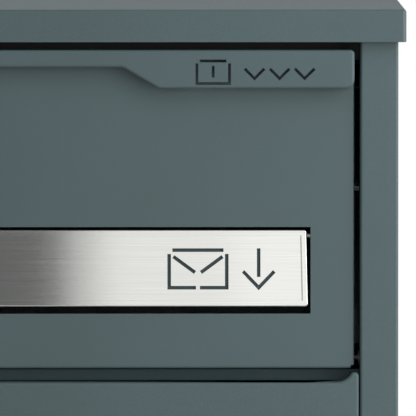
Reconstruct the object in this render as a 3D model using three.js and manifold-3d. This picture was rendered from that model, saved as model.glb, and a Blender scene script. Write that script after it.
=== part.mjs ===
// Free-standing parcel-and-letter box in folded, powder-coated steel sheet.
// Millimetres. +Z is up, the front faces -Y, and +X is to the right of someone facing the front.
// The origin is at the middle of the footprint, on the ground.
import * as THREE from "three";
import { mergeVertices } from "three/addons/utils/BufferGeometryUtils.js";
import Module from "manifold-3d";

const wasm = await Module();
wasm.setup();

// ---- driving dimensions ------------------------------------------------------------------
const bodyWidth = 480; // over the two side panels
const bodyDepth = 340; // stile face to rear flange
const height = 1010; // ground to the top of the lid
const sheet = 1.5; // folded steel sheet of the cabinet, hopper and door
const foldRadius = 3; // outside radius of a fold
const cornerRadius = 3.3; // outside radius of a dressed corner
const gap = 0.3; // between pieces that bear on each other
const steps = 4; // facets in a quarter turn of a fold

const lid = { overhang: 6.2, frontOverhang: 8, rearOverhang: 2, drop: 26 };
const stile = { width: 30.5, returnDepth: 42, insideLid: 6 };
const rearFlange = 25;

const base = { thickness: 3, inset: 4, frontInset: 7, anchorRadius: 6.5, anchorInset: 70 };
const floorPan = { rise: 25 };
const bottomRail = { height: 30, foot: 17, flange: 41, lip: 20 };
const backHole = { radius: 5, inset: 60, fromEnds: 120 };
const plug = { flange: 2.5, flangeThickness: 1.6, length: 6 };

const door = {
  bottomGap: 3, hingeGap: 2.2, lockGap: 0.9, depth: 17.5,
  notchDepth: 8, notchTopInset: 5.3, notchSlope: 6, notchRadius: 14, notchLip: 3.2,
};
const divider = { height: 31.5, setback: 20, foot: 25, belowHopper: 1.5 };
const topRail = { height: 15 };
const doorSeal = { height: 10, thickness: 1.9, endInset: 19.5 };

const hopper = { height: 255, gapAboveDoor: 3, gapBelowLid: 6.3, sideGap: 4.7, recess: 5, depth: 12, relief: 2.8 };
const lip = { proud: 12, shallow: 13.7, deep: 30.7, wing: 156.5, slope: 28.8, hem: 4, fillet: 6, corner: 7 };
const cheekInset = 4.8; // hopper side edge to the outside of a cheek
const pivot = { behindFront: 8, aboveBottom: 8.5, pinRadius: 2.5, pinHead: 4.5 };
const tray = { slope: 38, insideCheek: 3.3, abovePivot: 5, upstand: 12, hem: 10 };
const cheek = { belowTop: 11.5 };
const baffle = { clearance: 4, from: -1, to: 62 };
const hopperTravel = 45;
const stud = { radius: 4, insideCheek: 36, angle: 40, clearance: 0.6, head: 8, headThickness: 3 };
const hopperSeal = { height: 14, belowHopperTop: 8.5, thickness: 2.4 };

const slot = { width: 340, bottom: 43.8, height: 69.4 };
const flap = {
  sideGap: 2, topGap: 2.4, bottomGap: 5.6, taper: 1.4, border: 4, borderDrop: 0.9, depth: 8.5, plate: 1,
  aboveAxis: 4.6, aheadOfAxis: 4.5, lean: 4, rodRadius: 2,
};
const bracket = { length: 28, depth: 10, foot: 14 };
const chute = { fall: 8, depth: 20, tail: 30, tailSlope: 60 };

const hinge = { inset: 7, pinRadius: 2.5, tab: 3, tabHalf: 4, boss: 4.5, fromEnds: 78, leg: 36, pinLength: 22, lug: 12 };
const lock = {
  fromEdge: 21.6, belowTop: 180, flange: 11, flangeProud: 2, barrel: 8.7, bore: 6.2, depth: 21,
  plug: 5.9, nut: 12, nutThickness: 5, camLength: 19.5, camWidth: 14, camThickness: 2.5,
  keyWidth: 1.4, keyHeight: 7, keyDepth: 8, screw: 2, screwHead: 4.2,
};
const strike = { reach: 11, height: 50, setback: 21 };
const stiffener = { width: 56, crown: 24, flange: 12, height: 11.5, fromEdge: 72 };
const lidChannel = { width: 40, lip: 12, inset: 55 };
const lidRail = { width: 20, drop: 22 };
const lidScrew = { radius: 3, head: 5.5, headThickness: 4, reach: 7 };

// ---- places that follow from them --------------------------------------------------------
const bodyHalf = bodyWidth / 2;
const lidHalf = bodyHalf + lid.overhang;
const lidRear = (lid.frontOverhang + bodyDepth + lid.rearOverhang) / 2;
const lidFront = -lidRear;
const stileFace = lidFront + lid.frontOverhang;
const rearFace = stileFace + bodyDepth;
const jamb = bodyHalf - stile.width; // inner face of a stile's return
const wallInside = bodyHalf - sheet;
const lidBottom = height - lid.drop;
const shellBottom = base.thickness + gap;
const shellTop = lidBottom + stile.insideLid;
const hopperHalf = jamb - hopper.sideGap;
const hopperFace = stileFace + hopper.recess;
const hopperTop = lidBottom - hopper.gapBelowLid;
const hopperBottom = hopperTop - hopper.height;
const doorTop = hopperBottom - hopper.gapAboveDoor;
const doorBottom = bottomRail.height + door.bottomGap;
const pivotY = hopperFace + pivot.behindFront;
const pivotZ = hopperBottom + pivot.aboveBottom;
const cheekOutside = hopperHalf - cheekInset + sheet;
const cheekRadius = hopper.height - pivot.aboveBottom - cheek.belowTop;
const studOrbit = cheekRadius - stud.insideCheek;
const railFace = stileFace + divider.setback;
const slotBottom = hopperBottom + slot.bottom;
const slotTop = slotBottom + slot.height;
const flapAxisY = hopperFace + flap.aheadOfAxis;
const flapAxisZ = slotTop - flap.aboveAxis - flap.topGap;
const flapWidth = slot.width - 2 * flap.sideGap;
const flapHeight = slot.height - flap.topGap - flap.bottomGap;
const hingeX = -(jamb - door.hingeGap - hinge.inset);
const hingeY = stileFace + hinge.inset;
const hingeHeights = [doorBottom + hinge.fromEnds, doorTop - hinge.fromEnds];
const lockX = jamb - door.lockGap - lock.fromEdge;
const lockZ = doorTop - lock.belowTop;

// ---- finishes ----------------------------------------------------------------------------
const finish = (color, roughness, metalness) =>
  new THREE.MeshStandardMaterial({ color, roughness, metalness });
const coat = finish(0x55656a, 0.55, 0.1);
const stainless = finish(0xc9c9c4, 0.32, 1);
const slate = finish(0x34464a, 0.6, 0.1);
const zinc = finish(0x9aa0a3, 0.42, 0.9);
const rubber = finish(0x17181a, 0.85, 0);
const nylon = finish(0x1d1e20, 0.5, 0);
const brass = finish(0xb8a25c, 0.35, 0.9);

// ---- solids ------------------------------------------------------------------------------
// A closed geometry as a manifold-3d solid.
function solid(geometry) {
  const bare = geometry.clone();
  bare.deleteAttribute("normal");
  bare.deleteAttribute("uv");
  const merged = mergeVertices(bare, 1e-4);
  return new wasm.Manifold(
    new wasm.Mesh({
      numProp: 3,
      vertProperties: merged.attributes.position.array,
      triVerts: new Uint32Array(merged.index.array),
    }),
  );
}

// The geometry of a manifold-3d solid.
function geometryOf(made) {
  const mesh = made.getMesh();
  const geometry = new THREE.BufferGeometry();
  geometry.setAttribute("position", new THREE.BufferAttribute(mesh.vertProperties, 3));
  geometry.setIndex(new THREE.BufferAttribute(mesh.triVerts, 1));
  const flat = geometry.toNonIndexed();
  flat.computeVertexNormals();
  return flat;
}

const cut = (geometry, ...tools) =>
  geometryOf(tools.reduce((left, tool) => left.subtract(solid(tool)), solid(geometry)));
const join = (geometry, ...more) =>
  geometryOf(more.reduce((sum, next) => sum.add(solid(next)), solid(geometry)));

const shapeOf = (points) => new THREE.Shape(points.map(([x, y]) => new THREE.Vector2(x, y)));
const extruded = (shape, depth) =>
  new THREE.ExtrudeGeometry(shape, { depth, bevelEnabled: false, curveSegments: 8 });

// A shape drawn in X and Y, from height z0 to z1.
const alongZ = (shape, z0, z1) => extruded(shape, z1 - z0).translate(0, 0, z0);
// A shape drawn in Y and Z, from x0 to x1.
const alongX = (shape, x0, x1) =>
  extruded(shape, x1 - x0)
    .applyMatrix4(new THREE.Matrix4().set(0, 0, 1, 0, 1, 0, 0, 0, 0, 1, 0, 0, 0, 0, 0, 1))
    .translate(x0, 0, 0);
// A shape drawn in X and Z, from y0 back to y1.
const alongY = (shape, y0, y1) => extruded(shape, y1 - y0).rotateX(Math.PI / 2).translate(0, y1, 0);

const box = (x0, x1, y0, y1, z0, z1) =>
  new THREE.BoxGeometry(x1 - x0, y1 - y0, z1 - z0).translate((x0 + x1) / 2, (y0 + y1) / 2, (z0 + z1) / 2);

const mirrorX = (points) => points.map(([x, y]) => [-x, y]).reverse();

function disc(radius, u, v) {
  const shape = new THREE.Shape();
  shape.absarc(u, v, radius, 0, 2 * Math.PI);
  return shape;
}
const rodX = (radius, y, z, x0, x1) => alongX(disc(radius, y, z), x0, x1);
const rodY = (radius, x, z, y0, y1) => alongY(disc(radius, x, z), y0, y1);
const rodZ = (radius, x, y, z0, z1) => alongZ(disc(radius, x, y), z0, z1);

// A sheet strip of constant thickness whose middle line runs through the points, with a round fold
// at each corner between them.
function foldedStrip(points, thickness = sheet, radius = foldRadius - sheet / 2) {
  const line = points.map(([x, y]) => new THREE.Vector2(x, y));
  const middle = [];
  line.forEach((point, i) => {
    if (i === 0 || i === line.length - 1) {
      const way = i === 0 ? line[1].clone().sub(point) : point.clone().sub(line[i - 1]);
      middle.push({ point, way: way.normalize() });
      return;
    }
    const before = point.clone().sub(line[i - 1]).normalize();
    const after = line[i + 1].clone().sub(point).normalize();
    const turn = Math.atan2(before.cross(after), before.dot(after));
    const side = Math.sign(turn);
    const start = point.clone().addScaledVector(before, -radius * Math.tan(Math.abs(turn) / 2));
    const centre = start.clone().add(new THREE.Vector2(-before.y, before.x).multiplyScalar(side * radius));
    for (let k = 0; k <= steps; k++) {
      const angle = (turn * k) / steps;
      const spoke = start.clone().sub(centre).rotateAround(new THREE.Vector2(), angle);
      middle.push({ point: centre.clone().add(spoke), way: before.clone().rotateAround(new THREE.Vector2(), angle) });
    }
  });
  const offset = (distance) =>
    middle.map(({ point, way }) => [point.x - way.y * distance, point.y + way.x * distance]);
  return shapeOf([...offset(-thickness / 2), ...offset(thickness / 2).reverse()]);
}

// A closed outline of straight edges and rounded corners, moved inwards by inset. Corners are
// [x, y, radius], counterclockwise. Every inset gives the same number of points.
function outline(corners, inset) {
  const count = corners.length;
  const at = (i) => new THREE.Vector2(...corners[(i + count) % count]);
  const points = [];
  corners.forEach(([, , radius], i) => {
    const before = at(i).sub(at(i - 1)).normalize();
    const after = at(i + 1).sub(at(i)).normalize();
    const turn = Math.atan2(before.cross(after), before.dot(after));
    const spread = Math.tan(turn / 2);
    const corner = at(i)
      .add(new THREE.Vector2(-before.y, before.x).multiplyScalar(inset))
      .addScaledVector(before, -inset * spread);
    const round = Math.max(turn > 0 ? radius - inset : radius + inset, 0.2);
    const side = Math.sign(turn);
    const start = corner.clone().addScaledVector(before, -round * Math.abs(spread));
    const centre = start.clone().add(new THREE.Vector2(-before.y, before.x).multiplyScalar(side * round));
    for (let k = 0; k <= steps; k++) {
      const spoke = start.clone().sub(centre).rotateAround(new THREE.Vector2(), (turn * k) / steps);
      points.push([centre.x + spoke.x, centre.y + spoke.y]);
    }
  });
  return points;
}

// A pan: rings of one outline, [inset, depth] each, from the middle of its face out over the edge and
// back inside, closed by a flat cap at each end. Drawn in X and Z with the depth going back along +Y.
function ringShell(corners, rings, face) {
  const loops = rings.map(([inset, depth]) => outline(corners, inset).map(([x, z]) => [x, face + depth, z]));
  const count = loops[0].length;
  const positions = loops.flat(2);
  const index = [];
  for (let r = 0; r + 1 < loops.length; r++)
    for (let i = 0; i < count; i++) {
      const [a, b] = [r * count + i, r * count + ((i + 1) % count)];
      index.push(a, a + count, b, b, a + count, b + count);
    }
  const cap = (ring, front) => {
    const flat = outline(corners, rings[ring][0]).map(([x, z]) => new THREE.Vector2(x, z));
    for (const [a, b, c] of THREE.ShapeUtils.triangulateShape(flat, []))
      index.push(...(front ? [a, b, c] : [a, c, b]).map((i) => i + ring * count));
  };
  cap(0, true);
  cap(rings.length - 1, false);
  const geometry = new THREE.BufferGeometry();
  geometry.setAttribute("position", new THREE.Float32BufferAttribute(positions, 3));
  geometry.setIndex(index);
  return geometryOf(solid(geometry));
}

// Rings of a folded pan: a flat face, a round fold, and straight returns of the given depth.
function panRings(depth, thickness = sheet, radius = foldRadius) {
  const arc = (inner) =>
    Array.from({ length: steps + 1 }, (_, k) => {
      const angle = ((Math.PI / 2) * k) / steps;
      return [radius - inner * Math.sin(angle), radius - inner * Math.cos(angle)];
    });
  return [...arc(radius), [0, depth], [thickness, depth], ...arc(radius - thickness).reverse()];
}
const rectangle = (x0, x1, z0, z1, radius) => [[x0, z0, radius], [x1, z0, radius], [x1, z1, radius], [x0, z1, radius]];
const pan = (corners, face, depth, thickness, radius) =>
  ringShell(corners, panRings(depth, thickness, radius), face);

// ---- assembly ----------------------------------------------------------------------------
const root = new THREE.Group();
function piece(name, geometry, material, parent = root) {
  const mesh = new THREE.Mesh(geometry, material);
  mesh.name = name;
  parent.add(mesh);
}
const sides = [["left", -1], ["right", 1]];

// ---- cabinet -----------------------------------------------------------------------------
const half = sheet / 2;
const span = (a, b, extra = 0) => [Math.min(a, b) - extra, Math.max(a, b) + extra];
const bush = { radius: 4.2, flange: 6, flangeThickness: 1.2 };

// One folded sheet: stile return, stile, side and rear flange.
const sidePath = [
  [jamb + half, stileFace + stile.returnDepth],
  [jamb + half, stileFace + half],
  [bodyHalf - half, stileFace + half],
  [bodyHalf - half, rearFace - half],
  [bodyHalf - rearFlange, rearFace - half],
];
for (const [name, side] of sides) {
  const folded = alongZ(foldedStrip(side > 0 ? sidePath : mirrorX(sidePath)), shellBottom, shellTop);
  const bushHole = rodX(bush.radius + gap, pivotY, pivotZ, ...span(side * jamb, side * (jamb + sheet), 1));
  piece(`${name}_side_panel`, cut(folded, bushHole), coat);
}

const backFront = rearFace - 2 * sheet - gap;
const backHoles = [backHole.fromEnds, height - backHole.fromEnds].flatMap((z) =>
  [-1, 1].map((side) => [side * (wallInside - backHole.inset), z]),
);
function backPanel() {
  const x = wallInside - foldRadius / 2; // clear of the inside of the rear folds
  const shape = shapeOf([[-x, shellBottom], [x, shellBottom], [x, shellTop], [-x, shellTop]]);
  shape.holes = backHoles.map(([u, v]) => disc(backHole.radius, u, v));
  return alongY(shape, backFront, backFront + sheet);
}
piece("back_panel", backPanel(), coat);
backHoles.forEach(([x, z], i) => {
  const inner = backFront - gap;
  const flange = rodY(backHole.radius + plug.flange, x, z, inner - plug.flangeThickness, inner);
  const barrel = rodY(backHole.radius - gap, x, z, inner - plug.flangeThickness / 2, inner + plug.length - sheet * 2);
  piece(`wall_hole_plug_${i + 1}`, join(flange, barrel), rubber);
});

function basePlate() {
  const x = bodyHalf - base.inset;
  const [front, back] = [stileFace + base.frontInset, rearFace - base.inset];
  const shape = shapeOf([[-x, front], [x, front], [x, back], [-x, back]]);
  shape.holes = [-1, 1].flatMap((side) =>
    [front + base.anchorInset, back - base.anchorInset].map((y) =>
      disc(base.anchorRadius, side * (x - base.anchorInset), y),
    ),
  );
  return alongZ(shape, 0, base.thickness);
}
piece("base_plate", basePlate(), zinc);

const floorFront = stileFace + bottomRail.flange + half + gap;
const floorOutline = rectangle(-wallInside + gap, wallInside - gap, gap - backFront, -floorFront, cornerRadius);
piece("floor_pan", pan(floorOutline, shellBottom, floorPan.rise).rotateX(Math.PI / 2), zinc);

const betweenStiles = [-jamb + gap, jamb - gap];
const bottomRailPath = [
  [stileFace + bottomRail.foot, shellBottom + half],
  [stileFace + half, shellBottom + half],
  [stileFace + half, bottomRail.height - half],
  [stileFace + bottomRail.flange, bottomRail.height - half],
  [stileFace + bottomRail.flange, bottomRail.height - bottomRail.lip],
];
piece("bottom_rail", alongX(foldedStrip(bottomRailPath), ...betweenStiles), coat);

const dividerTop = hopperBottom - divider.belowHopper;
const dividerPath = [
  [railFace + half, dividerTop],
  [railFace + half, dividerTop - divider.height + half],
  [railFace + divider.foot, dividerTop - divider.height + half],
];
piece("divider_rail", alongX(foldedStrip(dividerPath), ...betweenStiles), coat);

const notchFloor = doorTop - door.notchDepth;
const sealBack = railFace - gap;
piece(
  "door_seal",
  box(doorSeal.endInset - jamb, jamb - doorSeal.endInset, sealBack - doorSeal.thickness, sealBack,
    notchFloor - 2 * gap - doorSeal.height, notchFloor - 2 * gap),
  rubber,
);

const topRailPath = [
  [railFace + half, lidBottom - topRail.height],
  [railFace + half, lidBottom - gap - half],
  [railFace + divider.foot, lidBottom - gap - half],
];
piece("top_rail", alongX(foldedStrip(topRailPath), ...betweenStiles), coat);
piece(
  "hopper_seal",
  box(...betweenStiles, sealBack - hopperSeal.thickness, sealBack,
    hopperTop - hopperSeal.belowHopperTop, hopperTop - hopperSeal.belowHopperTop + hopperSeal.height),
  rubber,
);

const lidOutline = rectangle(-lidHalf, lidHalf, lidFront, lidRear, cornerRadius);
piece("lid_cap", pan(lidOutline, -height, lid.drop).rotateX(-Math.PI / 2), coat);

const screwX = wallInside - gap - lidRail.width / 2;
const channelPlaces = [["front", lidFront + lidChannel.inset + lidChannel.width / 2, 1],
  ["rear", rearFace - lidChannel.inset - lidChannel.width / 2, -1]];
const screwY = (y, way) => y + way * (lidChannel.width - lidChannel.lip) / 2;
for (const [name, y, way] of channelPlaces) {
  const [foot, crown] = [lidBottom + half, height - sheet - gap - half];
  const flank = lidChannel.width / 2 - lidChannel.lip;
  const path = [[y - lidChannel.width / 2, foot], [y - flank, foot], [y - flank, crown],
    [y + flank, crown], [y + flank, foot], [y + lidChannel.width / 2, foot]];
  const holes = [-1, 1].map((side) =>
    rodZ(lidScrew.radius + gap, side * screwX, screwY(y, way), foot - 2, foot + 2));
  piece(`lid_channel_${name}`, cut(alongX(foldedStrip(path), -wallInside + gap * 2, wallInside - gap * 2), ...holes), zinc);
}
for (const [name, side] of sides) {
  const wall = wallInside - gap - half;
  const path = [[wall, lidBottom - gap - lidRail.drop], [wall, lidBottom - gap - half],
    [wallInside - gap - lidRail.width, lidBottom - gap - half]];
  const rail = alongY(foldedStrip(side > 0 ? path : mirrorX(path)), channelPlaces[0][1] - lidChannel.width / 2,
    channelPlaces[1][1] + lidChannel.width / 2);
  const holes = channelPlaces.map(([, y, way]) =>
    rodZ(lidScrew.radius + gap, side * screwX, screwY(y, way), lidBottom - 4, lidBottom + 1));
  piece(`lid_rail_${name}`, cut(rail, ...holes), zinc);
  channelPlaces.forEach(([place, y, way]) => {
    const under = lidBottom - 2 * gap - sheet;
    const shank = rodZ(lidScrew.radius, side * screwX, screwY(y, way), under - lidScrew.headThickness / 2, lidBottom + lidScrew.reach);
    const head = rodZ(lidScrew.head, side * screwX, screwY(y, way), under - lidScrew.headThickness, under);
    piece(`lid_screw_${place}_${name}`, join(head, shank), zinc);
  });
}

// The part of a ring around the hopper's pivot between two angles, drawn in Y and Z.
const radians = THREE.MathUtils.degToRad;
function arcBand(inner, outer, from, to) {
  const band = new THREE.Shape();
  band.absarc(pivotY, pivotZ, outer, radians(from), radians(to), false);
  band.absarc(pivotY, pivotZ, inner, radians(to), radians(from), true);
  return band;
}
const baffleInner = cheekRadius + baffle.clearance;
piece("baffle", alongX(arcBand(baffleInner, baffleInner + sheet, baffle.from, baffle.to), -wallInside + gap, wallInside - gap), zinc);
for (const [name, side] of sides) {
  const wall = wallInside - gap - half;
  const y = pivotY + baffleInner + sheet + gap + half;
  const path = [[wall - lidRail.width, y], [wall, y], [wall, y + lidRail.width]];
  piece(`baffle_bracket_${name}`,
    alongZ(foldedStrip(side > 0 ? path : mirrorX(path)), pivotZ, pivotZ + lidRail.width * 1.5), zinc);
}

// Fixed studs that the hopper's cheeks swing past, and that stop them at both ends of their travel.
const studY = pivotY + studOrbit * Math.cos(radians(stud.angle));
const studZ = pivotZ + studOrbit * Math.sin(radians(stud.angle));
const cheekInside = cheekOutside - sheet;
for (const [name, side] of sides) {
  const inner = cheekInside - 2;
  const shank = rodX(stud.radius, studY, studZ, ...span(side * (inner - stud.headThickness / 2), side * (wallInside - gap)));
  const head = rodX(stud.head, studY, studZ, ...span(side * (inner - stud.headThickness), side * inner));
  const foot = rodX(stud.head, studY, studZ, ...span(side * (wallInside - gap - stud.headThickness), side * (wallInside - gap)));
  piece(`hopper_stop_${name}`, join(shank, head, foot), zinc);

  const bore = rodX(pivot.pinRadius + gap, pivotY, pivotZ, ...span(side * (jamb - 5), side * (jamb + 5)));
  const barrel = rodX(bush.radius, pivotY, pivotZ, ...span(side * (jamb - gap - 1), side * (jamb + sheet + 1)));
  const flange = rodX(bush.flange, pivotY, pivotZ, ...span(side * (jamb - gap - bush.flangeThickness), side * (jamb - gap)));
  piece(`pivot_bush_${name}`, cut(join(barrel, flange), bore), nylon);
}

// ---- parcel hopper -----------------------------------------------------------------------
// Straight bars through a sheet, each from one end to the other, with the corner at (x, z).
function strokes(lines, width, x, z, y0, y1) {
  return lines.map(([ax, az, bx, bz]) => {
    const from = new THREE.Vector2(x + ax, z + az);
    const way = new THREE.Vector2(x + bx, z + bz).sub(from).normalize();
    const to = new THREE.Vector2(x + bx, z + bz).addScaledVector(way, width / 2);
    from.addScaledVector(way, -width / 2);
    const across = new THREE.Vector2(-way.y, way.x).multiplyScalar(width / 2);
    const corners = [from.clone().sub(across), to.clone().sub(across), to.clone().add(across), from.clone().add(across)];
    return alongY(new THREE.Shape(corners), y0, y1);
  });
}
const carton = [[0, 0, 26, 0], [0, 0, 0, 15], [26, 0, 26, 15], [3.5, 18, 22.5, 18], [13, 6, 13, 13]];
const chevron = [[0, 12, 7, 5], [7, 5, 14, 12]];
const envelope = [[0, 0, 20, 0], [26, 0, 46, 0], [0, 0, 0, 25.5], [46, 0, 46, 25.5], [4, 30, 42, 30],
  [4.5, 24, 19.5, 13], [41.5, 24, 26.5, 13]];
const arrow = [[13.5, 30, 13.5, 10], [2, 12, 13.5, 0], [13.5, 0, 25, 12]];
// Places of the marks are measured in from the right edge of the sheet they are cut through.
const lipMarks = { stroke: 2.2, carton: 125.8, chevron: 86.8, pitch: 20, count: 3, rise: 3 };
const flapMarks = { stroke: 2.8, envelope: 111, arrow: 53, rise: 15 };

const hopperPan = rectangle(-hopperHalf, hopperHalf, hopperBottom, hopperTop, cornerRadius);
const hopperCuts = [
  box(-slot.width / 2, slot.width / 2, hopperFace - 1, hopperFace + 4, slotBottom, slotTop),
  rodX(pivot.pinRadius + gap, pivotY, pivotZ, -hopperHalf - 1, hopperHalf + 1),
  ...[-1, 1].map((side) =>
    box(...span(side * (hopperHalf - hopper.relief), side * (hopperHalf + 1)), hopperFace - 1, hopperFace + hopper.depth + 1,
      hopperBottom - 1, hopperBottom + hopper.relief)),
];
piece("hopper_front", cut(pan(hopperPan, hopperFace, hopper.depth), ...hopperCuts), coat);

const lipFace = hopperFace - lip.proud;
const [shallowEdge, deepEdge] = [hopperTop - lip.shallow, hopperTop - lip.deep];
const lipOutline = [
  [-hopperHalf, shallowEdge, cornerRadius],
  [hopperHalf - lip.wing - lip.slope, shallowEdge, lip.fillet],
  [hopperHalf - lip.wing, deepEdge, lip.fillet],
  [hopperHalf, deepEdge, lip.corner],
  [hopperHalf, hopperTop, cornerRadius],
  [-hopperHalf, hopperTop, cornerRadius],
];
// The lower edge is a short hem, so that fingers reach up behind the lip.
const fingerRoom = box(-hopperHalf + 2 * sheet, hopperHalf - lip.corner, lipFace + lip.hem, hopperFace + 1,
  deepEdge - 1, shallowEdge + 2 * sheet);
const chevrons = Array.from({ length: lipMarks.count }, (_, i) =>
  strokes(chevron, lipMarks.stroke, hopperHalf - lipMarks.chevron + i * lipMarks.pitch, deepEdge + lipMarks.rise, lipFace - 1, lipFace + 3));
piece(
  "pull_lip",
  cut(pan(lipOutline, lipFace, lip.proud - gap), fingerRoom,
    ...strokes(carton, lipMarks.stroke, hopperHalf - lipMarks.carton, deepEdge + lipMarks.rise + 1, lipFace - 1, lipFace + 3),
    ...chevrons.flat()),
  coat,
);

// Distances from the pivot along the tray's slope and square to it, as a place in Y and Z.
const slope = radians(tray.slope);
const fromPivot = (along, above) => [
  pivotY + along * Math.cos(slope) + above * Math.sin(slope),
  pivotZ - along * Math.sin(slope) + above * Math.cos(slope),
];
function cheekShape() {
  const front = hopperFace + sheet + gap;
  const low = hopperBottom + sheet + gap;
  const shape = new THREE.Shape();
  shape.moveTo(front, low + sheet);
  shape.lineTo(front + sheet, low);
  shape.lineTo(pivotY + 1, low);
  shape.lineTo(...fromPivot(7, 1));
  shape.absarc(pivotY, pivotZ, cheekRadius, -slope, Math.acos((front - pivotY) / cheekRadius), false);
  const slotWidth = stud.radius + stud.clearance;
  const [a0, a1] = [radians(stud.angle - hopperTravel), radians(stud.angle)];
  const hole = new THREE.Path();
  const end = (a) => [pivotY + studOrbit * Math.cos(a), pivotZ + studOrbit * Math.sin(a)];
  hole.absarc(pivotY, pivotZ, studOrbit + slotWidth, a0, a1, false);
  hole.absarc(...end(a1), slotWidth, a1, a1 + Math.PI, false);
  hole.absarc(pivotY, pivotZ, studOrbit - slotWidth, a1, a0, true);
  hole.absarc(...end(a0), slotWidth, a0 + Math.PI, a0 + 2 * Math.PI, false);
  shape.holes = [hole, disc(pivot.pinRadius + gap, pivotY, pivotZ)];
  return shape;
}
for (const [name, side] of sides) {
  piece(`hopper_cheek_${name}`, alongX(cheekShape(), ...span(side * cheekInside, side * cheekOutside)), coat);
  const shank = rodX(pivot.pinRadius, pivotY, pivotZ, ...span(side * (cheekInside - gap - 1), side * (jamb + sheet + 2)));
  const head = rodX(pivot.pinHead, pivotY, pivotZ, ...span(side * (cheekInside - gap - 2), side * (cheekInside - gap)));
  piece(`hopper_pivot_pin_${name}`, join(shank, head), zinc);
}
const backOfPanel = hopperFace + sheet + gap + half;
const trayAbove = tray.abovePivot + half;
const trayFoldZ = pivotZ + trayAbove / Math.cos(slope) + (pivotY - backOfPanel) * Math.tan(slope);
const trayReach = Math.sqrt((cheekRadius - tray.insideCheek) ** 2 - trayAbove ** 2);
const trayPath = [
  [backOfPanel, trayFoldZ + tray.upstand],
  [backOfPanel, trayFoldZ],
  fromPivot(trayReach, trayAbove),
  fromPivot(trayReach, trayAbove - tray.hem),
];
piece("hopper_tray", alongX(foldedStrip(trayPath), -cheekInside + gap, cheekInside - gap), coat);

const sill = slotBottom - gap - half;
const chutePath = [
  [backOfPanel, sill - chute.fall],
  [backOfPanel, sill],
  [backOfPanel + chute.depth, sill],
  [backOfPanel + chute.depth + chute.tail * Math.cos(radians(chute.tailSlope)),
    sill - chute.tail * Math.sin(radians(chute.tailSlope))],
];
piece("letter_chute", alongX(foldedStrip(chutePath), -slot.width / 2 + 4, slot.width / 2 - 4), stainless);

const bracketX = slot.width / 2 + gap + half;
for (const [name, side] of sides) {
  const path = [[bracketX, backOfPanel + bracket.depth], [bracketX, backOfPanel], [bracketX + bracket.foot, backOfPanel]];
  const folded = alongZ(foldedStrip(side > 0 ? path : mirrorX(path)), slotTop + bracket.depth / 2 - bracket.length, slotTop + bracket.depth / 2);
  const bore = rodX(flap.rodRadius + gap, flapAxisY, flapAxisZ, ...span(side * (bracketX - 2), side * (bracketX + 4)));
  piece(`flap_bracket_${name}`, cut(folded, bore), zinc);
}

// ---- letter flap, drawn about its hinge axis and leaning out at the bottom -----------------
const flapGroup = new THREE.Group();
flapGroup.position.set(0, flapAxisY, flapAxisZ);
flapGroup.rotation.x = -radians(flap.lean);
root.add(flapGroup);
const flapLow = flap.aboveAxis - flapHeight;
const flapRight = flapWidth / 2;
const flapFront = -flap.aheadOfAxis;
const flapOutline = [
  [-flapRight, flapLow, 2], [flapRight, flapLow, 2],
  [flapRight - flap.taper, flap.aboveAxis, 2], [-flapRight + flap.taper, flap.aboveAxis, 2],
];
const flapRings = [
  [flap.border, 0], [0.8, flap.borderDrop], [0.25, flap.borderDrop + 0.4], [0, flap.borderDrop + 1.1], [0, flap.depth],
  [flap.plate, flap.depth], [flap.plate, flap.borderDrop + 1.5], [flap.plate + 0.4, flap.borderDrop + 1],
  [flap.border, flap.plate],
];
piece(
  "flap_plate",
  cut(ringShell(flapOutline, flapRings, flapFront),
    rodX(flap.rodRadius + gap, 0, 0, -flapRight - 1, flapRight + 1),
    ...strokes(envelope, flapMarks.stroke, flapRight - flapMarks.envelope, flapLow + flapMarks.rise, flapFront - 1, flapFront + 2),
    ...strokes(arrow, flapMarks.stroke, flapRight - flapMarks.arrow, flapLow + flapMarks.rise, flapFront - 1, flapFront + 2)),
  stainless,
  flapGroup,
);
const backingHalf = flapRight - flap.taper - flap.border - flap.plate - 2 * gap;
const backingFront = flapFront + flap.plate + gap;
piece("flap_backing",
  box(-backingHalf, backingHalf, backingFront, backingFront + 1.2, flapLow + flap.border + gap, -flap.rodRadius - 3 * gap),
  slate, flapGroup);
piece("flap_rod", rodX(flap.rodRadius, 0, 0, -bracketX - 3, bracketX + 3), stainless, flapGroup);

// ---- collection door ---------------------------------------------------------------------
const [doorLeft, doorRight] = [-jamb + door.hingeGap, jamb - door.lockGap];
const doorOutline = [
  [doorLeft, doorBottom, cornerRadius],
  [doorRight, doorBottom, cornerRadius],
  [doorRight, doorTop, cornerRadius],
  [doorRight - door.notchTopInset, doorTop, door.notchLip],
  [doorRight - door.notchTopInset - door.notchSlope, notchFloor, door.notchRadius],
  [doorLeft + door.notchTopInset + door.notchSlope, notchFloor, door.notchRadius],
  [doorLeft + door.notchTopInset, doorTop, door.notchLip],
  [doorLeft, doorTop, cornerRadius],
];
const doorCuts = hingeHeights.map((z) =>
  box(doorLeft - 1, doorLeft + 2 * sheet - gap, hingeY - hinge.tabHalf - gap, stileFace + door.depth + 1, z - 2, z + hinge.tab + 2));
doorCuts.push(rodY(lock.barrel + gap, lockX, lockZ, stileFace - 1, stileFace + 4));
piece("door_skin", cut(pan(doorOutline, stileFace, door.depth), ...doorCuts), coat);

const skinBack = stileFace + sheet + gap + half;
const hatX = doorRight - stiffener.fromEdge;
const hatPath = [
  [hatX - stiffener.width / 2, skinBack],
  [hatX - stiffener.width / 2 + stiffener.flange, skinBack],
  [hatX - stiffener.crown / 2, skinBack + stiffener.height],
  [hatX + stiffener.crown / 2, skinBack + stiffener.height],
  [hatX + stiffener.width / 2 - stiffener.flange, skinBack],
  [hatX + stiffener.width / 2, skinBack],
];
piece("door_stiffener",
  alongZ(foldedStrip(hatPath), doorBottom + stiffener.crown, notchFloor - stiffener.crown), zinc);

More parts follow.
